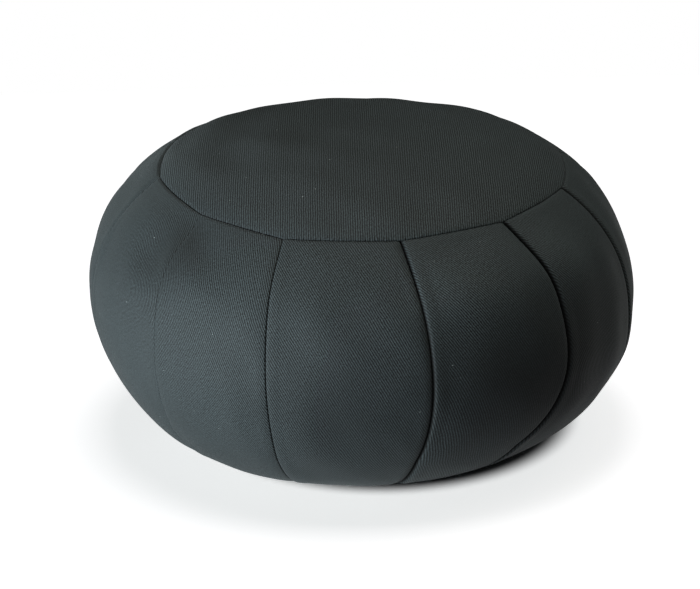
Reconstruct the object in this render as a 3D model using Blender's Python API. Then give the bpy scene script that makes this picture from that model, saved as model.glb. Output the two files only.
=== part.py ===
"""Round gored meditation cushion, 14 in across and 8 in high, stuffed firm.

Twelve side gores are sewn edge to edge and closed by a round panel above and another below. The filled body
is divided at its sewn seams: each panel is one solid with the stuffing behind it, and neighbours stay a
hairline apart. Units are metres, +Z is up, the front is -Y, and the origin is the middle of the footprint.
Angles run from the front (-Y) towards +X.
"""
import math
from collections import namedtuple

import bmesh
import bpy
import numpy as np
from mathutils import Vector

# Overall form
BELLY_RADIUS = 0.178
HEIGHT = 0.2032
BELLY_HEIGHT = 0.0901
FOOT_RADIUS = 0.102
BOTTOM_SEAM_RADIUS = 0.116

# Fullness of the outline above and below the belly: 2 is an ellipse, more is squarer
SHOULDER_FULLNESS = 2.50
UNDERSIDE_FULLNESS = 1.74

# How the stuffing sits unevenly: sideways terms grow towards +X, the front term towards -Y
SIDE_BELLY_DROP = 0.0059
SIDE_FOOT_DROP = 0.0058
SIDE_UNDERSIDE_GAIN = 0.08
FRONT_SHOULDER_LOSS = 0.45
PLAN_SKEW = 0.0176

# Sewn seams: how far they are drawn in, how wide the cloth rolls into them, and the hairline between pieces
SEAM_DEPTH = 0.003
ROLL_WIDTH = 0.014
GAP = 0.0003
TOP_SEAM_STRAIGHTNESS = 0.3

# Heights at the middle axis where the gores stop against the two round panels
CORE_TOP = 0.165
CORE_BOTTOM = 0.012

# One row for each gore seam: the angle where it meets the top panel (degrees), how far the top panel
# reaches there (metres), how far the seam sways at the belly and how far it trails at the foot (degrees)
Seam = namedtuple("Seam", "angle reach sway trail")
SEAMS = [Seam(*row) for row in (
    (-49.7, 0.1282, 3.6, -14.7),
    (-20.6, 0.1311, 1.3, -2.7),
    (10.4, 0.1323, 2.9, -4.4),
    (40.4, 0.1347, 4.2, -22.0),
    (70.9, 0.1360, 0.6, -3.0),
    (100.8, 0.1352, 2.4, -6.0),
    (130.7, 0.1341, 2.9, -9.0),
    (160.6, 0.1330, 1.8, -5.0),
    (190.5, 0.1318, 2.6, -8.0),
    (220.4, 0.1304, 2.2, -4.0),
    (250.3, 0.1292, 3.1, -10.0),
    (280.3, 0.1285, 2.3, -7.0),
)]

# A seam trails with this power of its share of the way down, and no further than this share
TRAIL_POWER = 4
TRAIL_END = 0.75

# Mesh density: points on each half of the side outline, rows and columns on a gore, and the rings of the
# round panels as shares of their seam radius
OUTLINE_POINTS = 90
ROWS = 18
COLUMNS = 8
TOP_RINGS = (1.0, 0.985, 0.955, 0.91, 0.84, 0.7, 0.52, 0.32, 0.12)
BOTTOM_RINGS = (1.0, 0.97, 0.93, 0.875, 0.82)

# Heavy black cotton twill, and the angle past which a solid's edge stays sharp
SHARP_EDGE = math.radians(50)
CLOTH_COLOUR = (0.021, 0.026, 0.027, 1.0)
CLOTH_ROUGHNESS = 0.9


def local_sizes(angle):
    """Belly radius, belly height, shoulder and underside fullness, and foot radius in one direction."""
    side, front = math.sin(angle), math.cos(angle)
    return (
        BELLY_RADIUS * (1 + PLAN_SKEW * math.sin(2 * angle)),
        BELLY_HEIGHT - SIDE_BELLY_DROP * side,
        SHOULDER_FULLNESS - FRONT_SHOULDER_LOSS * front,
        UNDERSIDE_FULLNESS + SIDE_UNDERSIDE_GAIN * side,
        FOOT_RADIUS - SIDE_FOOT_DROP * side,
    )


def top_height(angle, radius):
    """Height of the domed top at a radius, or at an array of them."""
    belly_radius, belly, shoulder, _, _ = local_sizes(angle)
    reach = np.minimum(radius / belly_radius, 1)
    return belly + (HEIGHT - belly) * (1 - reach ** shoulder) ** (1 / shoulder)


def bottom_height(angle, radius):
    """Height of the underside at a radius, or at an array of them: flat within the foot, then rising."""
    belly_radius, belly, _, underside, foot = local_sizes(angle)
    reach = np.clip((radius - foot) / (belly_radius - foot), 0, 1)
    return belly * (1 - (1 - reach ** underside) ** (1 / underside))


def seam_angle(number, share):
    """Angle of a gore seam at a share of the way from the top panel to the bottom panel."""
    seam = SEAMS[number % len(SEAMS)]
    lean = seam.sway * math.sin(math.pi * share) + seam.trail * min(share, TRAIL_END) ** TRAIL_POWER
    return math.radians(seam.angle + lean + 360 * (number // len(SEAMS)))


def top_seam_radius(gore, across):
    """Radius of the top panel at a share of the way across a gore, a little straightened between corners."""
    first, second = seam_angle(gore, 0), seam_angle(gore + 1, 0)
    corner = SEAMS[gore].reach * (1 - across) + SEAMS[(gore + 1) % len(SEAMS)].reach * across
    half = (second - first) / 2
    chord = math.cos(half) / math.cos((2 * across - 1) * half)
    return corner * (1 - TOP_SEAM_STRAIGHTNESS * (1 - chord))


def side_outline(angle, seam_radius):
    """Length, radius and height along the side, from the top seam over the belly to the bottom seam."""
    belly_radius = local_sizes(angle)[0]
    turn = np.linspace(0, math.pi / 2, OUTLINE_POINTS)
    above = seam_radius + (belly_radius - seam_radius) * np.sin(turn)
    below = BOTTOM_SEAM_RADIUS + (belly_radius - BOTTOM_SEAM_RADIUS) * np.cos(turn[1:])
    radius = np.concatenate([above, below])
    height = np.concatenate([top_height(angle, above), bottom_height(angle, below)])
    length = np.concatenate([[0], np.cumsum(np.hypot(np.diff(radius), np.diff(height)))])
    return length, radius, height


def roll_in(distance):
    """How far the cloth has rolled in towards a seam, from 0 (not at all) to 1 (at the seam)."""
    return max(0.0, 1 - distance / ROLL_WIDTH) ** 2


def polar(angle, radius, height):
    """Point at an angle from the front, a radius and a height."""
    return Vector((radius * math.sin(angle), -radius * math.cos(angle), height))


def spaced(count):
    """Shares from 0 to 1 that crowd towards both ends."""
    return [(1 - math.cos(math.pi * k / count)) / 2 for k in range(count + 1)]


def gore_point(gore, across, share):
    """Point on the outer face of a gore."""
    first, second = seam_angle(gore, share), seam_angle(gore + 1, share)
    angle = first * (1 - across) + second * across
    length, radius, height = side_outline(angle, top_seam_radius(gore, across))
    along = share * length[-1]
    step = length[-1] / OUTLINE_POINTS
    stops = [max(along - step, 0), along, min(along + step, length[-1])]
    radii = np.interp(stops, length, radius)
    heights = np.interp(stops, length, height)
    out = Vector((heights[0] - heights[2], radii[2] - radii[0])).normalized()
    to_side = min(across, 1 - across) * (second - first) * radii[1]
    to_end = min(along, length[-1] - along)
    depth = SEAM_DEPTH * (1 - (1 - roll_in(to_side)) * (1 - roll_in(to_end)))
    r = radii[1] - depth * out[0]
    z = heights[1] - depth * out[1]
    hairline = {0: -GAP / 2, 1: GAP / 2}.get(share, 0)
    return polar(angle + (0.5 - across) * GAP / r, r, z + hairline)


def cloth(name):
    """Matt black twill."""
    material = bpy.data.materials.new(name + "_twill")
    material.use_nodes = True
    shader = material.node_tree.nodes["Principled BSDF"]
    shader.inputs["Base Color"].default_value = CLOTH_COLOUR
    shader.inputs["Roughness"].default_value = CLOTH_ROUGHNESS
    shader.inputs["Metallic"].default_value = 0.0
    material.diffuse_color = CLOTH_COLOUR
    return material


def finish(name, bm, parent):
    """Turn a bmesh into a smooth-shaded object with its own cloth."""
    bmesh.ops.remove_doubles(bm, verts=bm.verts, dist=1e-7)
    bmesh.ops.triangulate(bm, faces=bm.faces, quad_method="SHORT_EDGE")
    bmesh.ops.recalc_face_normals(bm, faces=bm.faces)
    mesh = bpy.data.meshes.new(name)
    bm.to_mesh(mesh)
    bm.free()
    mesh.shade_smooth()
    mesh.set_sharp_from_angle(angle=SHARP_EDGE)
    mesh.materials.append(cloth(name))
    body = bpy.data.objects.new(name, mesh)
    body.parent = parent
    bpy.context.scene.collection.objects.link(body)
    return body


def new_verts(made):
    """The vertices among what a bmesh operator made."""
    return [item for item in made["geom"] if isinstance(item, bmesh.types.BMVert)]


def side_panel(gore, parent):
    """Filled gore: its crowned outer face, two walls that run in to the axis, and its two ends."""
    bm = bmesh.new()
    bmesh.ops.create_grid(bm, x_segments=COLUMNS, y_segments=ROWS, size=1)
    across, down = spaced(COLUMNS), spaced(ROWS)
    share_at = {}
    for vert in bm.verts:
        column = round((vert.co.x + 1) / 2 * COLUMNS)
        row = round((vert.co.y + 1) / 2 * ROWS)
        vert.co = gore_point(gore, across[column], down[row])
        share_at[tuple(vert.co)] = down[row]
    rim = [edge for edge in bm.edges if edge.is_boundary]
    walls = bmesh.ops.extrude_edge_only(bm, edges=rim)
    middle = (seam_angle(gore, 0) + seam_angle(gore + 1, 0)) / 2
    tip_radius = GAP / 2 / math.sin(math.pi / len(SEAMS))
    high, low = CORE_TOP - GAP / 2, CORE_BOTTOM + GAP / 2
    for vert in new_verts(walls):
        share = share_at[tuple(vert.co)]
        vert.co = polar(middle, tip_radius, high + (low - high) * share)
    return finish(f"side_panel_{gore + 1:02d}", bm, parent)


def turn_of(point):
    """Angle of a point or vertex position from the front, from 0 to a full turn."""
    return math.atan2(point.x, -point.y) % (2 * math.pi)


def place_ring(verts, outer_point, scale):
    """Move a ring of vertices to its stations, which match the gores' own columns."""
    stations = [(gore, across) for gore in range(len(SEAMS)) for across in spaced(COLUMNS)[:-1]]
    points = [outer_point(gore, across, scale) for gore, across in stations]
    points.sort(key=turn_of)
    for vert, point in zip(sorted(verts, key=lambda vert: turn_of(vert.co)), points):
        vert.co = point


def round_panel(name, outer_point, scales, inner_height, parent):
    """Filled round panel: rings from its rim to its middle outside, and a shallow cone inside."""
    bm = bmesh.new()
    bmesh.ops.create_circle(bm, segments=len(SEAMS) * COLUMNS, radius=1)
    place_ring(bm.verts, outer_point, scales[0])
    rim = list(bm.edges)
    cone = bmesh.ops.extrude_edge_only(bm, edges=rim)
    bmesh.ops.pointmerge(bm, verts=new_verts(cone), merge_co=Vector((0, 0, inner_height)))
    edges = rim
    for scale in scales[1:]:
        made = bmesh.ops.extrude_edge_only(bm, edges=edges)
        place_ring(new_verts(made), outer_point, scale)
        edges = [item for item in made["geom"] if isinstance(item, bmesh.types.BMEdge)]
    bmesh.ops.contextual_create(bm, geom=edges)
    return finish(name, bm, parent)


def top_point(gore, across, scale):
    """Point on the domed top, at a share of the way from the axis to the seam."""
    angle = seam_angle(gore, 0) * (1 - across) + seam_angle(gore + 1, 0) * across
    if scale == 1:
        rim = gore_point(gore, across, 0)
        return polar(angle, rim.xy.length, rim.z + GAP)
    seam_radius = top_seam_radius(gore, across)
    radius = seam_radius * scale
    depth = SEAM_DEPTH * roll_in(seam_radius - radius)
    return polar(angle, radius, top_height(angle, radius) - depth)


def bottom_point(gore, across, scale):
    """Point on the underside, at a share of the way from the axis to the seam."""
    angle = seam_angle(gore, 1) * (1 - across) + seam_angle(gore + 1, 1) * across
    if scale == 1:
        rim = gore_point(gore, across, 1)
        return polar(angle, rim.xy.length, rim.z - GAP)
    radius = BOTTOM_SEAM_RADIUS * scale
    depth = SEAM_DEPTH * roll_in(BOTTOM_SEAM_RADIUS - radius)
    return polar(angle, radius, bottom_height(angle, radius) + depth)


for leftover in list(bpy.data.objects):
    bpy.data.objects.remove(leftover, do_unlink=True)

cushion = bpy.data.objects.new("zafu", None)
bpy.context.scene.collection.objects.link(cushion)

round_panel("top_panel", top_point, TOP_RINGS, CORE_TOP + GAP / 2, cushion)
for gore_number in range(len(SEAMS)):
    side_panel(gore_number, cushion)
round_panel("bottom_panel", bottom_point, BOTTOM_RINGS, CORE_BOTTOM - GAP / 2, cushion)
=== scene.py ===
import math
from collections import namedtuple

import bmesh
import bpy
import numpy as np
from mathutils import Matrix, Vector
from mathutils.kdtree import KDTree


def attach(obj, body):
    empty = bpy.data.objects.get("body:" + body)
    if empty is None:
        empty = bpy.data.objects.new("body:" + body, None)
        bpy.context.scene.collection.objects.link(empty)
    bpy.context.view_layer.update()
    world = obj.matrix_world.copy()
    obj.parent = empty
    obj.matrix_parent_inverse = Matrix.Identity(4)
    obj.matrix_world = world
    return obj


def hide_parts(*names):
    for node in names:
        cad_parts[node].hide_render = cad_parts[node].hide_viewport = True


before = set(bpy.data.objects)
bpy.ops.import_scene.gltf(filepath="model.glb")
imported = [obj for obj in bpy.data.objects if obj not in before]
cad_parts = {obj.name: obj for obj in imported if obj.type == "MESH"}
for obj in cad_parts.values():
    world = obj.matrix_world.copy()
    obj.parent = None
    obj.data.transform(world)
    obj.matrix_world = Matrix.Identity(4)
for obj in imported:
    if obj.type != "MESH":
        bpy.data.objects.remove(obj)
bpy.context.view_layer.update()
scene = bpy.context.scene

# Camera and studio
# The photo is taken from a little above, with a long lens. The cushion stands on a white table that glows,
# so that it burns out to white away from the foot, and the strongest light comes from the left, low down.
CAMERA_DISTANCE = 1.424
CAMERA_ELEVATION = math.radians(19.86)
CAMERA_ROLL = math.radians(-1.64)
CAMERA_AIM = Vector((-0.0072, 0, 0.0875))
LENS_MM = 110.7
SENSOR_MM = 36.0
LIGHT_AIM = Vector((0, 0, 0.1))
TABLE_SIZE = 1.8
TABLE_GLOW = 0.8
# Painted shadow round the foot, where the table's glow is left out, set a little to the right where shade
# falls under the cushion: its middle, and the radii where the glow starts and where it is full
PAINTED_SHADOW_MIDDLE = (0.0165, 0.002, 0)
PAINTED_SHADOW_RADII = (0.111, 0.131)

back = Vector((0, -math.cos(CAMERA_ELEVATION), math.sin(CAMERA_ELEVATION)))
camera = bpy.data.objects.new("camera", bpy.data.cameras.new("camera"))
camera.data.lens = LENS_MM
camera.data.sensor_width = SENSOR_MM
camera.data.clip_end = 50
camera.location = CAMERA_AIM + back * CAMERA_DISTANCE
turned = Matrix.Rotation(math.pi / 2 - CAMERA_ELEVATION, 4, "X") @ Matrix.Rotation(CAMERA_ROLL, 4, "Z")
camera.rotation_euler = turned.to_euler()
scene.collection.objects.link(camera)
scene.camera = camera


def linear(code):
    """sRGB hex colour to linear RGBA."""
    channels = [int(code[k:k + 2], 16) / 255 for k in (1, 3, 5)]
    return [c / 12.92 if c <= 0.04045 else ((c + 0.055) / 1.055) ** 2.4 for c in channels] + [1.0]


def node(tree, kind, settings=None, links=None, values=None):
    """Add a shader node with its properties, its incoming links and its fixed input values."""
    made = tree.nodes.new(kind)
    for name, value in (settings or {}).items():
        setattr(made, name, value)
    for name, value in (values or {}).items():
        made.inputs[name].default_value = value
    for name, socket in (links or {}).items():
        tree.links.new(socket, made.inputs[name])
    return made


def softbox(name, place, width, height, watts, colour):
    """Rectangular soft light that faces the cushion."""
    data = bpy.data.lights.new(name, "AREA")
    data.shape = "RECTANGLE"
    data.size = width
    data.size_y = height
    data.energy = watts
    data.color = linear(colour)[:3]
    lamp = bpy.data.objects.new(name, data)
    lamp.location = place
    lamp.rotation_euler = (LIGHT_AIM - Vector(place)).to_track_quat("-Z", "Y").to_euler()
    lamp.visible_camera = False
    scene.collection.objects.link(lamp)
    return lamp


# Three softboxes overhead light the cushion and the table alike
softbox("overhead", (0, 0, 1.9), 0.8, 0.8, 13, "#fffbfd")
softbox("overhead_right", (0.897, 0.078, 1.659), 1.0, 1.0, 3.5, "#fff0ec")
softbox("overhead_back", (0, 0.9, 1.659), 1.0, 1.0, 1.5, "#fffaff")

# The others are flagged off the table, which would flare under them: they reach the cloth only
cloth_only = bpy.data.collections.new("lit_by_flagged_lights")
for lamp in (
    softbox("strip_by_table", (-0.57, -0.48, 0.1), 0.6, 0.18, 28, "#f1fbff"),
    softbox("top_light", (-0.1, -0.3, 1.87), 0.6, 0.6, 25, "#fff6ee"),
    softbox("top_light_right", (0.606, -0.107, 1.791), 0.6, 0.6, 29, "#faffee"),
    softbox("top_light_back", (0, 0.616, 1.791), 0.6, 0.6, 3, "#eef6ff"),
):
    lamp.light_linking.receiver_collection = cloth_only

table_mesh = bpy.data.meshes.new("table_top")
bm = bmesh.new()
bmesh.ops.create_grid(bm, x_segments=1, y_segments=1, size=TABLE_SIZE / 2)
bm.to_mesh(table_mesh)
bm.free()
table_top = bpy.data.objects.new("table_top", table_mesh)
scene.collection.objects.link(table_top)

glowing_white_laminate = bpy.data.materials.new("white_laminate_painted_glow")
glowing_white_laminate.use_nodes = True
laminate = glowing_white_laminate.node_tree.nodes["Principled BSDF"]
laminate.inputs["Base Color"].default_value = linear("#e7e7e7")
laminate.inputs["Roughness"].default_value = 0.7
laminate.inputs["Specular IOR Level"].default_value = 0.2
laminate.inputs["Emission Color"].default_value = linear("#fcfefe")
tree = glowing_white_laminate.node_tree
# Painted light: the table top glows like a lamp, and is left without glow in a painted shadow round the
# foot
on_table = node(tree, "ShaderNodeTexCoord")
from_foot = node(
    tree, "ShaderNodeVectorMath", {"operation": "DISTANCE"},
    {0: on_table.outputs["Object"]}, {1: PAINTED_SHADOW_MIDDLE},
)
glow = node(
    tree, "ShaderNodeMapRange", {"interpolation_type": "SMOOTHSTEP"}, {"Value": from_foot.outputs["Value"]},
    {"From Min": PAINTED_SHADOW_RADII[0], "From Max": PAINTED_SHADOW_RADII[1], "To Min": 0.0, "To Max": TABLE_GLOW},
)
tree.links.new(glow.outputs[0], laminate.inputs["Emission Strength"])
table_mesh.materials.append(glowing_white_laminate)

# The room is dark, and shows as plain white past the table's edge
ROOM_LIGHT = 0.01
world = bpy.data.worlds.new("studio")
world.use_nodes = True
tree = world.node_tree
tree.nodes.clear()
seen = node(tree, "ShaderNodeBackground", values={"Color": linear("#ffffff"), "Strength": 1.0})
dim = node(tree, "ShaderNodeBackground", values={"Color": linear("#f2f6ff"), "Strength": ROOM_LIGHT})
path = node(tree, "ShaderNodeLightPath")
mixed = node(
    tree, "ShaderNodeMixShader",
    {}, {0: path.outputs["Is Camera Ray"], 1: dim.outputs[0], 2: seen.outputs[0]},
)
node(tree, "ShaderNodeOutputWorld", links={"Surface": mixed.outputs[0]})
scene.world = world
scene.view_settings.view_transform = "Standard"

# Stuffed cover
# The whole zafu before its details: twelve gores and two round panels of heavy cotton twill, sewn edge to
# edge, turned right side out and packed hard with kapok, which swells every panel between its seams. The
# sizes are the real ones, in metres; angles run from the front (-Y) towards +X.
BELLY_RADIUS = 0.178
HEIGHT = 0.2032
BELLY_HEIGHT = 0.0901
FOOT_RADIUS = 0.102
BOTTOM_SEAM_RADIUS = 0.116
SHOULDER_FULLNESS = 2.50
UNDERSIDE_FULLNESS = 1.74
SIDE_BELLY_DROP = 0.0059
SIDE_FOOT_DROP = 0.0058
SIDE_UNDERSIDE_GAIN = 0.08
FRONT_SHOULDER_LOSS = 0.45
PLAN_SKEW = 0.0176
TOP_SEAM_STRAIGHTNESS = 0.3

# One row for each gore seam: the angle where it meets the top panel (degrees), how far the top panel
# reaches there (metres), how far the seam sways at the belly and how far it trails at the foot (degrees)
Seam = namedtuple("Seam", "angle reach sway trail")
SEAMS = [Seam(*row) for row in (
    (-49.7, 0.1282, 3.6, -14.7),
    (-20.6, 0.1311, 1.3, -2.7),
    (10.4, 0.1323, 2.9, -4.4),
    (40.4, 0.1347, 4.2, -22.0),
    (70.9, 0.1360, 0.6, -3.0),
    (100.8, 0.1352, 2.4, -6.0),
    (130.7, 0.1341, 2.9, -9.0),
    (160.6, 0.1330, 1.8, -5.0),
    (190.5, 0.1318, 2.6, -8.0),
    (220.4, 0.1304, 2.2, -4.0),
    (250.3, 0.1292, 3.1, -10.0),
    (280.3, 0.1285, 2.3, -7.0),
)]
GORES = len(SEAMS)
SEAM_ANGLES, SEAM_REACHES, SEAM_SWAYS, SEAM_TRAILS = np.array(SEAMS).T
TRAIL_POWER = 4
TRAIL_END = 0.75
OUTLINE_POINTS = 90


def local_sizes(angle):
    """Belly radius, belly height, shoulder fullness, underside fullness and foot radius, at angles."""
    side, front = np.sin(angle), np.cos(angle)
    return (
        BELLY_RADIUS * (1 + PLAN_SKEW * np.sin(2 * angle)),
        BELLY_HEIGHT - SIDE_BELLY_DROP * side,
        SHOULDER_FULLNESS - FRONT_SHOULDER_LOSS * front,
        UNDERSIDE_FULLNESS + SIDE_UNDERSIDE_GAIN * side,
        FOOT_RADIUS - SIDE_FOOT_DROP * side,
    )


def top_height(angle, radius):
    """Height of the domed top at a radius."""
    belly_radius, belly, shoulder, _, _ = local_sizes(angle)
    reach = np.minimum(radius / belly_radius, 1)
    return belly + (HEIGHT - belly) * (1 - reach ** shoulder) ** (1 / shoulder)


def bottom_height(angle, radius):
    """Height of the underside at a radius: flat within the foot, then rising."""
    belly_radius, belly, _, underside, foot = local_sizes(angle)
    reach = np.clip((radius - foot) / (belly_radius - foot), 0, 1)
    return belly * (1 - (1 - reach ** underside) ** (1 / underside))


def seam_angle(number, share):
    """Angle of a gore seam at a share of the way from the top panel to the bottom panel."""
    k = number % GORES
    trail = SEAM_TRAILS[k] * np.minimum(share, TRAIL_END) ** TRAIL_POWER
    lean = SEAM_SWAYS[k] * np.sin(np.pi * share) + trail
    return np.radians(SEAM_ANGLES[k] + lean + 360 * (number // GORES))


def top_seam_radius(gore, across):
    """Radius of the top panel at a share of the way across a gore, straightened between corners."""
    half = (seam_angle(gore + 1, 0) - seam_angle(gore, 0)) / 2
    corner = SEAM_REACHES[gore % GORES] * (1 - across) + SEAM_REACHES[(gore + 1) % GORES] * across
    chord = np.cos(half) / np.cos((2 * across - 1) * half)
    return corner * (1 - TOP_SEAM_STRAIGHTNESS * (1 - chord))


def polar(angle, radius, height):
    """Points at angles from the front, radii and heights."""
    return np.stack(np.broadcast_arrays(radius * np.sin(angle), -radius * np.cos(angle), height), -1)


def gore_surface(gore, across, share):
    """Points and outward vectors of a gore, its width there and its length, for arrays of shares."""
    first, second = seam_angle(gore, share), seam_angle(gore + 1, share)
    angle = first * (1 - across) + second * across
    edge = top_seam_radius(gore, across)[..., None]
    every = angle[..., None]
    widest = local_sizes(every)[0]
    quarter = np.linspace(0, np.pi / 2, OUTLINE_POINTS)
    above = edge + (widest - edge) * np.sin(quarter)
    below = BOTTOM_SEAM_RADIUS + (widest - BOTTOM_SEAM_RADIUS) * np.cos(quarter[1:])
    radii = np.concatenate([above, below], -1)
    heights = np.concatenate([top_height(every, above), bottom_height(every, below)], -1)
    steps = np.hypot(np.diff(radii), np.diff(heights))
    lengths = np.concatenate([np.zeros(edge.shape), np.cumsum(steps, -1)], -1)
    along = share * lengths[..., -1]
    slot = np.clip((lengths <= along[..., None]).sum(-1) - 1, 0, lengths.shape[-1] - 2)[..., None]

    def pick(values, offset=0):
        return np.take_along_axis(values, slot + offset, -1)[..., 0]

    part = (along - pick(lengths)) / (pick(lengths, 1) - pick(lengths))

    def blend(values):
        return pick(values) * (1 - part) + pick(values, 1) * part

    run, rise = blend(np.gradient(radii, axis=-1)), blend(np.gradient(heights, axis=-1))
    size = np.hypot(run, rise)
    radius = blend(radii)
    outward = polar(angle, -rise / size, run / size)
    return polar(angle, radius, blend(heights)), outward, (second - first) * radius, lengths[..., -1]


SLOPE_STEP = 0.0005


def round_surface(is_top, place, reach):
    """Points and outward vectors of a round panel, at places in gores and shares of its radius."""
    gore = np.floor(place).astype(int)
    across = place - gore
    level = 0 if is_top else 1
    angle = seam_angle(gore, level) * (1 - across) + seam_angle(gore + 1, level) * across
    height = top_height if is_top else bottom_height
    radius = reach * (top_seam_radius(gore, across) if is_top else BOTTOM_SEAM_RADIUS)
    inner = np.maximum(radius - SLOPE_STEP, 0)
    slope = (height(angle, radius + SLOPE_STEP) - height(angle, inner)) / (radius + SLOPE_STEP - inner)
    size = np.hypot(slope, 1) * (1 if is_top else -1)
    return polar(angle, radius, height(angle, radius)), polar(angle, -slope / size, 1 / size)


def square_to_round(x, y):
    """Place round a round panel, in gores, and share of its radius, for points of a grid from -1 to 1."""
    reach = np.maximum(np.abs(x), np.abs(y))
    steep = np.abs(y) > np.abs(x)
    longer = np.where(steep, y, x)
    slope = np.where(steep, x, y) / np.where(longer == 0, 1, longer)
    turn = np.where(steep, 0.25 - slope / 8, slope / 8) + np.where(longer < 0, 0.5, 0)
    return turn % 1 * GORES, reach


# The cloth simulation stretches one closed cover over the stuffing. It is held at every sewn seam and where
# the foot stands on the table, and everything between is blown out by the pressure of the kapok.
SIM_COLUMNS = 16
SIM_ROWS = 40
SIM_CAP_CELLS = GORES * SIM_COLUMNS // 4
SIM_FRAMES = 20
STUFFING_PRESSURE = 4.0
CLOTH_STIFFNESS = 60.0
CLOTH_BENDING = 3.0
CLOTH_SPARE = -0.006
SWELL_LIMIT = 0.005
SWELL_SMOOTHING = 3
PINNED_HEIGHT = 0.004
AT_EDGE = 1e-4
SEWN_REACH = 1e-5

cover = bmesh.new()
layouts = []
for gore in range(GORES):
    made = bmesh.ops.create_grid(cover, x_segments=SIM_COLUMNS, y_segments=SIM_ROWS, size=0.5)
    shares = np.array([vert.co.xy for vert in made["verts"]]) + 0.5
    points, outward, _, _ = gore_surface(gore, shares[:, 0], shares[:, 1])
    on_seam = (shares.min(-1) < AT_EDGE) | (shares.max(-1) > 1 - AT_EDGE)
    pinned = on_seam | (points[:, 2] < PINNED_HEIGHT)
    layouts.append((shares, points, outward, pinned))
    for vert, point in zip(made["verts"], points):
        vert.co = point
for is_top in (True, False):
    made = bmesh.ops.create_grid(cover, x_segments=SIM_CAP_CELLS, y_segments=SIM_CAP_CELLS, size=1)
    squares = np.array([vert.co.xy for vert in made["verts"]])
    place, reach = square_to_round(squares[:, 0], squares[:, 1])
    points, outward = round_surface(is_top, place, reach)
    pinned = (reach > 1 - AT_EDGE) | (not is_top)
    layouts.append((squares / 2 + 0.5, points, outward, pinned))
    for vert, point in zip(made["verts"], points):
        vert.co = point
bmesh.ops.remove_doubles(cover, verts=cover.verts, dist=SEWN_REACH)
bmesh.ops.recalc_face_normals(cover, faces=cover.faces)
cover_mesh = bpy.data.meshes.new("stuffed_cover")
cover.to_mesh(cover_mesh)
cover.free()
stuffed_cover = bpy.data.objects.new("stuffed_cover", cover_mesh)
scene.collection.objects.link(stuffed_cover)

rest = np.zeros(len(cover_mesh.vertices) * 3)
cover_mesh.vertices.foreach_get("co", rest)
rest = rest.reshape(-1, 3)
finder = KDTree(len(rest))
for index, point in enumerate(rest):
    finder.insert(point, index)
finder.balance()
matches = [np.array([finder.find(point)[1] for point in points]) for _, points, _, _ in layouts]
held = stuffed_cover.vertex_groups.new(name="held")
for match, (_, _, _, pinned) in zip(matches, layouts):
    held.add([int(index) for index in match[pinned]], 1.0, "REPLACE")

filling = stuffed_cover.modifiers.new("filling", "CLOTH")
filling.settings.quality = 6
filling.settings.mass = 0.3
filling.settings.tension_stiffness = CLOTH_STIFFNESS
filling.settings.compression_stiffness = CLOTH_STIFFNESS
filling.settings.shear_stiffness = CLOTH_STIFFNESS / 2
filling.settings.bending_stiffness = CLOTH_BENDING
filling.settings.shrink_min = CLOTH_SPARE
filling.settings.use_pressure = True
filling.settings.uniform_pressure_force = STUFFING_PRESSURE
filling.settings.vertex_group_mass = held.name
filling.settings.effector_weights.gravity = 0
filling.collision_settings.use_collision = False
for step in range(1, SIM_FRAMES + 1):
    scene.frame_set(step)
blown = stuffed_cover.evaluated_get(bpy.context.evaluated_depsgraph_get())
swollen = np.zeros(len(rest) * 3)
blown.data.vertices.foreach_get("co", swollen)
moved = swollen.reshape(-1, 3) - rest
bpy.data.objects.remove(stuffed_cover)
bpy.data.meshes.remove(cover_mesh)
scene.frame_set(1)


def swell_grid(layout, match, columns, rows):
    """How far each point of a panel's grid was pushed out, as an array of columns by rows."""
    shares, _, outward, _ = layout
    out = np.clip((moved[match] * outward).sum(-1), -SWELL_LIMIT, SWELL_LIMIT)
    grid = np.zeros((columns + 1, rows + 1))
    grid[np.round(shares[:, 0] * columns).astype(int), np.round(shares[:, 1] * rows).astype(int)] = out
    for _ in range(SWELL_SMOOTHING):
        grid[1:-1] = (grid[:-2] + 2 * grid[1:-1] + grid[2:]) / 4
        grid[:, 1:-1] = (grid[:, :-2] + 2 * grid[:, 1:-1] + grid[:, 2:]) / 4
    return grid


gore_swells = [swell_grid(layouts[k], matches[k], SIM_COLUMNS, SIM_ROWS) for k in range(GORES)]
top_swell = swell_grid(layouts[GORES], matches[GORES], SIM_CAP_CELLS, SIM_CAP_CELLS)


def smooth_sample(grid, x, y):
    """Values of a grid at shares of its width and height, by cubic B-splines."""
    padded = np.pad(grid, 2, "reflect", reflect_type="odd")
    fx, fy = x * (grid.shape[0] - 1) + 2, y * (grid.shape[1] - 1) + 2
    ix = np.clip(np.floor(fx).astype(int), 1, padded.shape[0] - 3)
    iy = np.clip(np.floor(fy).astype(int), 1, padded.shape[1] - 3)

    def weights(t):
        return (
            (1 - t) ** 3 / 6,
            (3 * t ** 3 - 6 * t ** 2 + 4) / 6,
            (-3 * t ** 3 + 3 * t ** 2 + 3 * t + 1) / 6,
            t ** 3 / 6,
        )

    total = 0
    for i, wx in enumerate(weights(fx - ix)):
        for j, wy in enumerate(weights(fy - iy)):
            total = total + wx * wy * padded[ix + i - 1, iy + j - 1]
    return total


# Kapok packs down unevenly, so the cloth over it is never quite smooth: low swellings all over
LUMP_SEED = 11
LUMP_COUNT = 10
LUMP_LIFT = 0.00016
LUMP_PITCH = (0.028, 0.085)
LUMP_EDGE = 0.012
SETTLE_WIDTH = 0.045
TOP_SETTLING = 0.0022
SIDE_SETTLING = 0.0005

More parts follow.
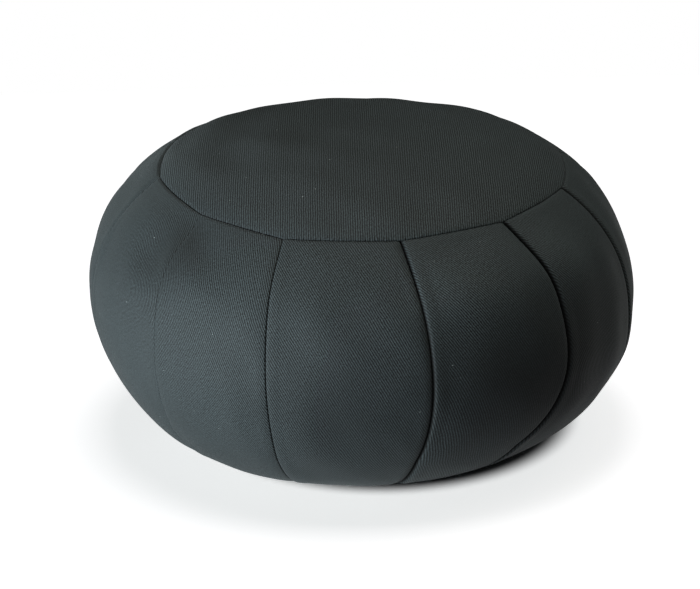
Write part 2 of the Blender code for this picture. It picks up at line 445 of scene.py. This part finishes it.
lump_random = np.random.default_rng(LUMP_SEED)
lump_directions = lump_random.normal(size=(LUMP_COUNT, 3))
lump_directions /= np.linalg.norm(lump_directions, axis=1)[:, None]
lump_waves = lump_directions * 2 * np.pi / lump_random.uniform(*LUMP_PITCH, size=(LUMP_COUNT, 1))
lump_phases = lump_random.uniform(0, 2 * np.pi, size=LUMP_COUNT)


def kapok_lumps(points):
    """Lift of the cloth by the uneven kapok under it."""
    return LUMP_LIFT * np.sin(points @ lump_waves.T + lump_phases).sum(-1)


# Folds and swellings that can be told apart in the photo: the line that each follows, how wide it is and
# how deep. A depth below nothing is a swelling. The gores pull into hollows below the top panel's corners.
Fold = namedtuple("Fold", "start end width depth")
FOLDS = [Fold(Vector(start), Vector(end), width, depth) for start, end, width, depth in (
    ((-0.1000, -0.0980, 0.1660), (-0.0960, -0.1120, 0.1570), 0.0095, 0.0024),
    ((-0.1060, -0.0860, 0.1690), (-0.1292, -0.0858, 0.1513), 0.0085, 0.0018),
    ((-0.1000, -0.1280, 0.1420), (-0.0300, -0.1590, 0.1390), 0.0140, -0.0018),
    ((-0.0680, -0.1500, 0.1330), (-0.0790, -0.1480, 0.0600), 0.0055, -0.0006),
    ((-0.0904, -0.1369, 0.1360), (-0.0960, -0.1420, 0.0800), 0.0050, -0.0004),
    ((-0.1420, -0.0950, 0.1300), (-0.1050, -0.1260, 0.1390), 0.0140, -0.0014),
    ((0.0520, -0.1530, 0.1360), (0.0930, -0.1370, 0.1320), 0.0140, -0.0026),
    ((0.0560, -0.1650, 0.1030), (0.1000, -0.1480, 0.1000), 0.0150, 0.0010),
    ((0.1150, -0.1140, 0.1410), (0.1420, -0.0850, 0.1360), 0.0130, -0.0024),
    ((0.1280, -0.1200, 0.1100), (0.1500, -0.0920, 0.1080), 0.0130, 0.0008),
    ((-0.0100, 0.0900, 0.1980), (-0.0050, 0.1000, 0.1960), 0.0350, 0.0011),
    ((-0.1520, -0.0200, 0.1600), (-0.1500, 0.0300, 0.1600), 0.0200, 0.0016),
    ((0.1153, -0.0560, 0.1740), (0.1120, -0.0700, 0.1720), 0.0080, 0.0009),
    ((0.0973, 0.0680, 0.1880), (0.1040, 0.0760, 0.1820), 0.0060, 0.0006),
    ((-0.0300, -0.1640, 0.1000), (-0.0340, -0.1640, 0.0650), 0.0060, -0.0005),
    ((-0.1068, -0.0911, 0.0300), (-0.1160, -0.0960, 0.0450), 0.0060, 0.0010),
    ((0.0200, -0.1640, 0.0400), (0.0100, -0.1700, 0.0560), 0.0060, 0.0006),
)]


def folds(points):
    """Lift of the cloth by the folds and swellings seen in the photo."""
    total = 0
    for fold in FOLDS:
        start, run = np.array(fold.start), np.array(fold.end - fold.start)
        along = np.clip((points - start) @ run / (run @ run), 0, 1)
        far = ((points - start - along[..., None] * run) ** 2).sum(-1)
        total = total - fold.depth * np.exp(-far / (2 * fold.width ** 2))
    return total


# Side gores
# Twelve tall panels of the same twill, each widest at the belly and narrow at both ends, joined by
# lock-stitched seams turned to the inside. The two layers of each seam's allowance, pressed to one side,
# lift the cloth beside it.
GORE_COLUMNS = 72
GORE_ROWS = 200
CROWDING = 0.75
SEAM_FOLD = 0.0013
ROUND_SEAM_TIGHTNESS = 0.6
SEAM_DIP = 0.0010
DIP_WIDTH = 0.006
RAISED_DIP = 0.0004
RAISED_DIP_WIDTH = 0.0025
ALLOWANCE_LIFT = 0.00025
ALLOWANCE_WIDTH = 0.007
ALLOWANCE_EDGE = 0.0025
HAIRLINE = 0.00012
CORE_TOP = 0.165
CORE_BOTTOM = 0.012
GORE_WALE_LEAN = math.radians(61)
SHARP_EDGE = math.radians(60)

# How wide each gore seam gapes; the cloth is drawn almost flat over the first, at the front left
SEAM_OPENNESS = [0.2, 0.75, 1.5, 1.6, 1.5, 1, 1, 1, 1, 1, 1, 1]


def crowd(share):
    """Shares from 0 to 1 moved so that they crowd towards both ends."""
    return share - CROWDING * np.sin(2 * np.pi * share) / (2 * np.pi)


def smooth(value, start, end):
    """0 before start, 1 after end, and a smooth rise between."""
    t = np.clip((value - start) / (end - start), 0, 1)
    return t * t * (3 - 2 * t)


def folded_in(distance, openness):
    """Depth of the rounded fold at a seam, where the cloth turns in to the stitching."""
    radius = SEAM_FOLD * openness
    short = np.clip(1 - distance / radius, 0, 1)
    return radius * (1 - np.sqrt(1 - short ** 2))


def dip(distance, depth, width):
    """Depth of the slope of the cloth beside a seam, from the full depth at the seam to 0 at the width."""
    return depth * np.clip(1 - distance / width, 0, 1) ** 2


def allowance(distance):
    """Lift of the cloth by the pressed seam allowance under it."""
    outer = smooth(distance, ALLOWANCE_WIDTH - ALLOWANCE_EDGE, ALLOWANCE_WIDTH + ALLOWANCE_EDGE)
    return ALLOWANCE_LIFT * smooth(distance, 0, ALLOWANCE_EDGE) * (1 - outer)


# Cotton twill, a woven black drill a little faded by use. It has close slanting wales about 1.4 mm apart,
# each a row of short floats, a matt face with a soft bloom of fibre, and a few specks of pale lint.
WALE_PITCH = 0.0014
YARN_PITCH = 0.0007
WALE_WANDER = 0.00022
FLOAT_LENGTH = 0.0021
LINT_SPACING = 0.0085
STITCHES = 307
FADE_SIZE = 0.05
YARN_SHARE = 0.3
FLOAT_SHARE = 1.5
WEAVE_CONTRAST = 1.4
WEAVE_PALENESS = 2.5
STITCH_PALENESS = 0.8
WAVE_PERIODS_PER_METRE = 10 / math.pi

# Patches of painted light in the cloth's tone: paler on the right shoulder, a painted highlight where light
# from above falls, together with some rubbed dye; darker lower down on the right and at the upper left,
# painted shade. The patches are set to the tones in the photo. One row for each: its middle, how wide it
# is, and how much paler (above nothing) or darker (below nothing) it is
LightAndWear = namedtuple("LightAndWear", "middle width change")
LIGHT_AND_WEAR = [LightAndWear(*row) for row in (
    ((0.0635, -0.1520, 0.1440), 0.022, 0.45),
    ((0.1210, -0.1050, 0.1530), 0.022, 0.38),
    ((0.0860, -0.1560, 0.0900), 0.036, -0.55),
    ((0.1480, -0.0980, 0.1000), 0.038, -0.45),
    ((0.1200, -0.1290, 0.0600), 0.030, -0.35),
    ((-0.0130, -0.1770, 0.0720), 0.030, -0.35),
    ((-0.1090, -0.1000, 0.1600), 0.022, -0.42),
)]


def painted_light_and_wear(points):
    """How light or dark the cloth is painted at points, where 1 is the usual tone: a painted highlight with
    some rubbed dye on the right shoulder, painted shade lower down on the right and at the upper left.
    """
    return 1 + sum(
        patch.change * np.exp(-((points - np.array(patch.middle)) ** 2).sum(-1) / (2 * patch.width ** 2))
        for patch in LIGHT_AND_WEAR
    )


cotton_twill = bpy.data.materials.new("black_cotton_twill")
cotton_twill.use_nodes = True
tree = cotton_twill.node_tree
shader = tree.nodes["Principled BSDF"]
shader.inputs["Roughness"].default_value = 0.75
shader.inputs["Specular IOR Level"].default_value = 0.08
shader.inputs["Sheen Weight"].default_value = 0.02
shader.inputs["Sheen Roughness"].default_value = 0.45
shader.inputs["Sheen Tint"].default_value = linear("#dfe9ea")
cloth_map = node(tree, "ShaderNodeUVMap", {"uv_map": "cloth"})
wander = node(
    tree, "ShaderNodeTexNoise", {}, {"Vector": cloth_map.outputs["UV"]},
    {"Scale": 140.0, "Detail": 2.0},
)
centred = node(
    tree, "ShaderNodeVectorMath", {"operation": "SUBTRACT"},
    {0: wander.outputs["Color"]}, {1: (0.5, 0.5, 0.5)},
)
threads = node(
    tree, "ShaderNodeVectorMath", {"operation": "MULTIPLY_ADD"},
    {0: centred.outputs[0], 2: cloth_map.outputs["UV"]}, {1: (WALE_WANDER * 4, WALE_WANDER * 4, 0)},
)
wale = node(
    tree, "ShaderNodeTexWave", {"wave_type": "BANDS", "bands_direction": "X", "wave_profile": "SIN"},
    {"Vector": threads.outputs[0]},
    {"Scale": 1 / (WAVE_PERIODS_PER_METRE * WALE_PITCH), "Distortion": 0.0},
)
yarn_turn = node(
    tree, "ShaderNodeMapping", links={"Vector": threads.outputs[0]},
    values={"Rotation": (0, 0, math.pi / 2 - GORE_WALE_LEAN)},
)
yarn = node(
    tree, "ShaderNodeTexWave", {"wave_type": "BANDS", "bands_direction": "X", "wave_profile": "SIN"},
    {"Vector": yarn_turn.outputs[0]},
    {"Scale": 1 / (WAVE_PERIODS_PER_METRE * YARN_PITCH), "Distortion": 0.0},
)
float_size = node(
    tree, "ShaderNodeVectorMath", {"operation": "MULTIPLY"},
    {0: threads.outputs[0]}, {1: (1 / WALE_PITCH, 1 / FLOAT_LENGTH, 1)},
)
floats = node(
    tree, "ShaderNodeTexNoise", {}, {"Vector": float_size.outputs[0]},
    {"Scale": 1.7, "Detail": 1.0, "Roughness": 0.6},
)
weave = node(
    tree, "ShaderNodeMath", {"operation": "MULTIPLY_ADD"},
    {0: yarn.outputs["Fac"], 2: wale.outputs["Fac"]}, {1: YARN_SHARE},
)
rough_weave = node(
    tree, "ShaderNodeMath", {"operation": "MULTIPLY_ADD"},
    {0: floats.outputs["Fac"], 2: weave.outputs[0]}, {1: FLOAT_SHARE},
)
weave_level = node(
    tree, "ShaderNodeMapRange", links={"Value": rough_weave.outputs[0]},
    values={"From Min": 0.75, "From Max": 2.05},
)
weave_curve = node(
    tree, "ShaderNodeMath", {"operation": "POWER"},
    {0: weave_level.outputs[0]}, {1: WEAVE_CONTRAST},
)
weave_tone = node(
    tree, "ShaderNodeMath", {"operation": "MULTIPLY"},
    {0: weave_curve.outputs[0]}, {1: WEAVE_PALENESS},
)
fade = node(
    tree, "ShaderNodeTexNoise", {}, {"Vector": cloth_map.outputs["UV"]},
    {"Scale": 1 / FADE_SIZE, "Detail": 4.0, "Roughness": 0.6},
)
fade_tone = node(
    tree, "ShaderNodeMapRange", links={"Value": fade.outputs["Fac"]},
    values={"From Min": 0.3, "From Max": 0.7, "To Min": 0.92, "To Max": 1.08},
)
seam_distance = node(tree, "ShaderNodeAttribute", {"attribute_name": "seam_distance"})
# Painted shade: the cloth is painted darker deep in each seam, where the two folds meet in the groove
painted_groove_shade = node(
    tree, "ShaderNodeMapRange", {"interpolation_type": "SMOOTHSTEP"},
    {"Value": seam_distance.outputs["Fac"]},
    {"From Min": 0.0001, "From Max": 0.0008, "To Min": 0.12, "To Max": 1.0},
)
# Round the top and bottom panels the stitches show in the seam, each one drawing the cloth in beside it
in_round = node(tree, "ShaderNodeTexCoord")
from_axis = node(tree, "ShaderNodeSeparateXYZ", links={0: in_round.outputs["Object"]})
forward = node(tree, "ShaderNodeMath", {"operation": "MULTIPLY"}, {0: from_axis.outputs["Y"]}, {1: -1.0})
bearing = node(
    tree, "ShaderNodeMath", {"operation": "ARCTAN2"},
    {0: from_axis.outputs["X"], 1: forward.outputs[0]},
)
stitch_turn = node(
    tree, "ShaderNodeMath", {"operation": "MULTIPLY"},
    {0: bearing.outputs[0]}, {1: float(STITCHES)},
)
stitch_wave = node(tree, "ShaderNodeMath", {"operation": "SINE"}, {0: stitch_turn.outputs[0]})
stitch_bar = node(
    tree, "ShaderNodeMapRange", {"interpolation_type": "SMOOTHSTEP"}, {"Value": stitch_wave.outputs[0]},
    {"From Min": -0.3, "From Max": 0.5},
)
rim_distance = node(tree, "ShaderNodeAttribute", {"attribute_name": "rim_distance"})
near_rim = node(
    tree, "ShaderNodeMapRange", {"interpolation_type": "SMOOTHSTEP"},
    {"Value": rim_distance.outputs["Fac"]},
    {"From Min": 0.0009, "From Max": 0.0022, "To Min": 1.0, "To Max": 0.0},
)
stitch = node(
    tree, "ShaderNodeMath", {"operation": "MULTIPLY"},
    {0: stitch_bar.outputs[0], 1: near_rim.outputs[0]},
)
# The stitches bridge the groove and lift its painted shade where they sit
stitched_groove_shade = node(
    tree, "ShaderNodeMath", {"operation": "MULTIPLY_ADD", "use_clamp": True},
    {0: stitch.outputs[0], 2: painted_groove_shade.outputs[0]}, {1: STITCH_PALENESS},
)
# The patches' painted highlight and painted shade, with the rubbed dye, scale the random fade
light_and_wear_tone = node(tree, "ShaderNodeAttribute", {"attribute_name": "painted_light_and_wear"})
faded_and_shaded = node(
    tree, "ShaderNodeMath", {"operation": "MULTIPLY"},
    {0: fade_tone.outputs[0], 1: light_and_wear_tone.outputs["Fac"]},
)
woven_and_shaded = node(
    tree, "ShaderNodeMath", {"operation": "MULTIPLY"},
    {0: weave_tone.outputs[0], 1: faded_and_shaded.outputs[0]},
)
toned = node(
    tree, "ShaderNodeMath", {"operation": "MULTIPLY"},
    {0: woven_and_shaded.outputs[0], 1: stitched_groove_shade.outputs[0]},
)
dyed_and_shaded = node(
    tree, "ShaderNodeVectorMath", {"operation": "SCALE"},
    {"Scale": toned.outputs[0]}, {0: linear("#141819")[:3]},
)
lint_cells = node(
    tree, "ShaderNodeTexVoronoi", {}, {"Vector": cloth_map.outputs["UV"]},
    {"Scale": 1 / LINT_SPACING, "Randomness": 1.0},
)
speck = node(
    tree, "ShaderNodeMapRange", {"interpolation_type": "SMOOTHSTEP"},
    {"Value": lint_cells.outputs["Distance"]},
    {"From Min": 0.02, "From Max": 0.045, "To Min": 1.0, "To Max": 0.0},
)
lint_luck = node(tree, "ShaderNodeSeparateColor", links={"Color": lint_cells.outputs["Color"]})
lint_paleness = node(
    tree, "ShaderNodeMapRange", links={"Value": lint_luck.outputs["Red"]},
    values={"From Min": 0.45, "From Max": 1.0, "To Min": 0.0, "To Max": 0.5},
)
lint = node(
    tree, "ShaderNodeMath", {"operation": "MULTIPLY"},
    {0: speck.outputs[0], 1: lint_paleness.outputs[0]},
)
colour = node(
    tree, "ShaderNodeMix", {"data_type": "RGBA"},
    {"Factor": lint.outputs[0], 6: dyed_and_shaded.outputs[0]}, {7: linear("#8d9594")},
)
tree.links.new(colour.outputs[2], shader.inputs["Base Color"])
relief = node(
    tree, "ShaderNodeBump", links={"Height": rough_weave.outputs[0]},
    values={"Strength": 0.8, "Distance": 0.00012},
)
drawn_in = node(
    tree, "ShaderNodeBump", {"invert": True},
    {"Height": stitch.outputs[0], "Normal": relief.outputs["Normal"]},
    {"Strength": 0.8, "Distance": 0.0003},
)
tree.links.new(drawn_in.outputs["Normal"], shader.inputs["Normal"])


def dress(name, bm, outer, cloth, nearest, to_rim, replaced):
    """Turn a closed bmesh, outer face first, into a panel of cloth that stands for a CAD node."""
    bmesh.ops.recalc_face_normals(bm, faces=bm.faces)
    mesh = bpy.data.meshes.new(name)
    bm.to_mesh(mesh)
    bm.free()
    inner = len(mesh.vertices) - outer
    corners = np.zeros(len(mesh.loops), dtype=np.int32)
    mesh.loops.foreach_get("vertex_index", corners)
    laid = np.concatenate([cloth, np.zeros((inner, 2))])
    mesh.uv_layers.new(name="cloth").data.foreach_set("uv", laid[corners].ravel())
    for kind, distance in (("seam_distance", nearest), ("rim_distance", to_rim)):
        distances = mesh.attributes.new(kind, "FLOAT", "POINT")
        distances.data.foreach_set("value", np.concatenate([distance, np.zeros(inner)]))
    places = np.zeros(len(mesh.vertices) * 3)
    mesh.vertices.foreach_get("co", places)
    light_and_wear_patches = mesh.attributes.new("painted_light_and_wear", "FLOAT", "POINT")
    light_and_wear_patches.data.foreach_set("value", painted_light_and_wear(places.reshape(-1, 3)))
    mesh.shade_smooth()
    mesh.set_sharp_from_angle(angle=SHARP_EDGE)
    mesh.materials.append(cotton_twill)
    panel = bpy.data.objects.new(name, mesh)
    scene.collection.objects.link(panel)
    cloth_only.objects.link(panel)
    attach(panel, "root")
    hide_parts(replaced)


tip_radius = HAIRLINE / 2 / math.sin(math.pi / GORES)
for gore in range(GORES):
    bm = bmesh.new()
    bmesh.ops.create_grid(bm, x_segments=GORE_COLUMNS, y_segments=GORE_ROWS, size=0.5)
    outer = len(bm.verts)
    bmesh.ops.extrude_edge_only(bm, edges=[edge for edge in bm.edges if edge.is_boundary])
    shares = crowd(np.array([vert.co.xy for vert in bm.verts]) + 0.5)
    across, share = shares[:outer].T
    points, outward, width, length = gore_surface(gore, across, share)
    to_first, to_second = across * width, (1 - across) * width
    to_top, to_bottom = share * length, (1 - share) * length
    nearest = np.minimum(np.minimum(to_first, to_second), np.minimum(to_top, to_bottom))
    first, second = SEAM_OPENNESS[gore], SEAM_OPENNESS[(gore + 1) % GORES]
    edges = ((to_first, first), (to_second, second), (to_top, ROUND_SEAM_TIGHTNESS), (to_bottom, 1))
    folded = np.max([folded_in(distance, openness) for distance, openness in edges], 0)
    in_seam = np.min([distance / openness for distance, openness in edges], 0)
    raised = np.maximum(
        dip(to_first, RAISED_DIP * first, RAISED_DIP_WIDTH),
        dip(to_top, RAISED_DIP, RAISED_DIP_WIDTH),
    )
    lowered = np.maximum(
        dip(to_second, SEAM_DIP * second, DIP_WIDTH),
        dip(to_bottom, SEAM_DIP, DIP_WIDTH),
    )
    lift = smooth_sample(gore_swells[gore], across, share)
    lift -= SIDE_SETTLING * smooth(nearest, 0, SETTLE_WIDTH)
    lift += kapok_lumps(points) * smooth(nearest, 0, LUMP_EDGE) + folds(points)
    lift += np.maximum(allowance(to_first), allowance(to_top)) * smooth(to_second, 0, DIP_WIDTH)
    lift -= folded + np.maximum(raised, lowered)
    points += outward * lift[:, None]
    points[:, 2] = np.maximum(points[:, 2], 0)
    sideways = np.arctan2(points[:, 0], -points[:, 1]) + np.pi / 2
    points += polar(sideways, (0.5 - across) * HAIRLINE, 0 * across)
    middle = (seam_angle(gore, 0) + seam_angle(gore + 1, 0)) / 2
    depth = shares[outer:, 1]
    tips = polar(middle, tip_radius, CORE_TOP + (CORE_BOTTOM - CORE_TOP) * depth)
    for vert, point in zip(bm.verts, np.concatenate([points, tips])):
        vert.co = point
    bmesh.ops.remove_doubles(bm, verts=list(bm.verts)[outer:], dist=1e-7)
    flat, down = (across - 0.5) * width, share * length
    along_wale = flat * math.cos(GORE_WALE_LEAN) + down * math.sin(GORE_WALE_LEAN)
    across_wale = flat * math.sin(GORE_WALE_LEAN) - down * math.cos(GORE_WALE_LEAN)
    cloth = np.stack([across_wale + gore, along_wale], -1)
    to_rim = np.minimum(to_top, to_bottom)
    dress(f"gore_{gore + 1:02d}", bm, outer, cloth, in_seam, to_rim, f"side_panel_{gore + 1:02d}")

# Round panels
# One round of twill closes the top, domed by the kapok, and one closes the underside and is pressed flat by
# the cushion's weight. Each is sewn to the ends of all twelve gores, with its wales running front to back.
ROUND_CELLS = 176
RIM_CROWDING = 0.72

for is_top in (True, False):
    name = "top_panel" if is_top else "bottom_panel"
    bm = bmesh.new()
    bmesh.ops.create_grid(bm, x_segments=ROUND_CELLS, y_segments=ROUND_CELLS, size=1)
    outer = len(bm.verts)
    bmesh.ops.extrude_edge_only(bm, edges=[edge for edge in bm.edges if edge.is_boundary])
    squares = np.array([vert.co.xy for vert in bm.verts])[:outer]
    place, ring = square_to_round(squares[:, 0], squares[:, 1])
    reach = ring + RIM_CROWDING * np.sin(np.pi * ring) / np.pi
    squares *= (reach / np.where(ring == 0, 1, ring))[:, None]
    points, outward = round_surface(is_top, place, reach)
    rims, _ = round_surface(is_top, place, np.ones(outer))
    nearest = np.hypot(*rims.T[:2]) - np.hypot(*points.T[:2])
    openness = ROUND_SEAM_TIGHTNESS if is_top else 1
    lift = -folded_in(nearest, openness) - dip(nearest, RAISED_DIP if is_top else SEAM_DIP, DIP_WIDTH)
    if is_top:
        lift += smooth_sample(top_swell, squares[:, 0] / 2 + 0.5, squares[:, 1] / 2 + 0.5)
        lift -= TOP_SETTLING * smooth(nearest, 0, SETTLE_WIDTH)
        lift += kapok_lumps(points) * smooth(nearest, 0, LUMP_EDGE) + folds(points)
    points += outward * lift[:, None]
    points[:, 2] = np.maximum(points[:, 2], 0)
    core = Vector((0, 0, CORE_TOP + HAIRLINE if is_top else CORE_BOTTOM - HAIRLINE))
    for vert, point in zip(bm.verts, points):
        vert.co = point
    inner = list(bm.verts)[outer:]
    bmesh.ops.pointmerge(bm, verts=inner, merge_co=core)
    dress(f"round_{name}", bm, outer, points[:, :2].copy(), nearest / openness, nearest, name)
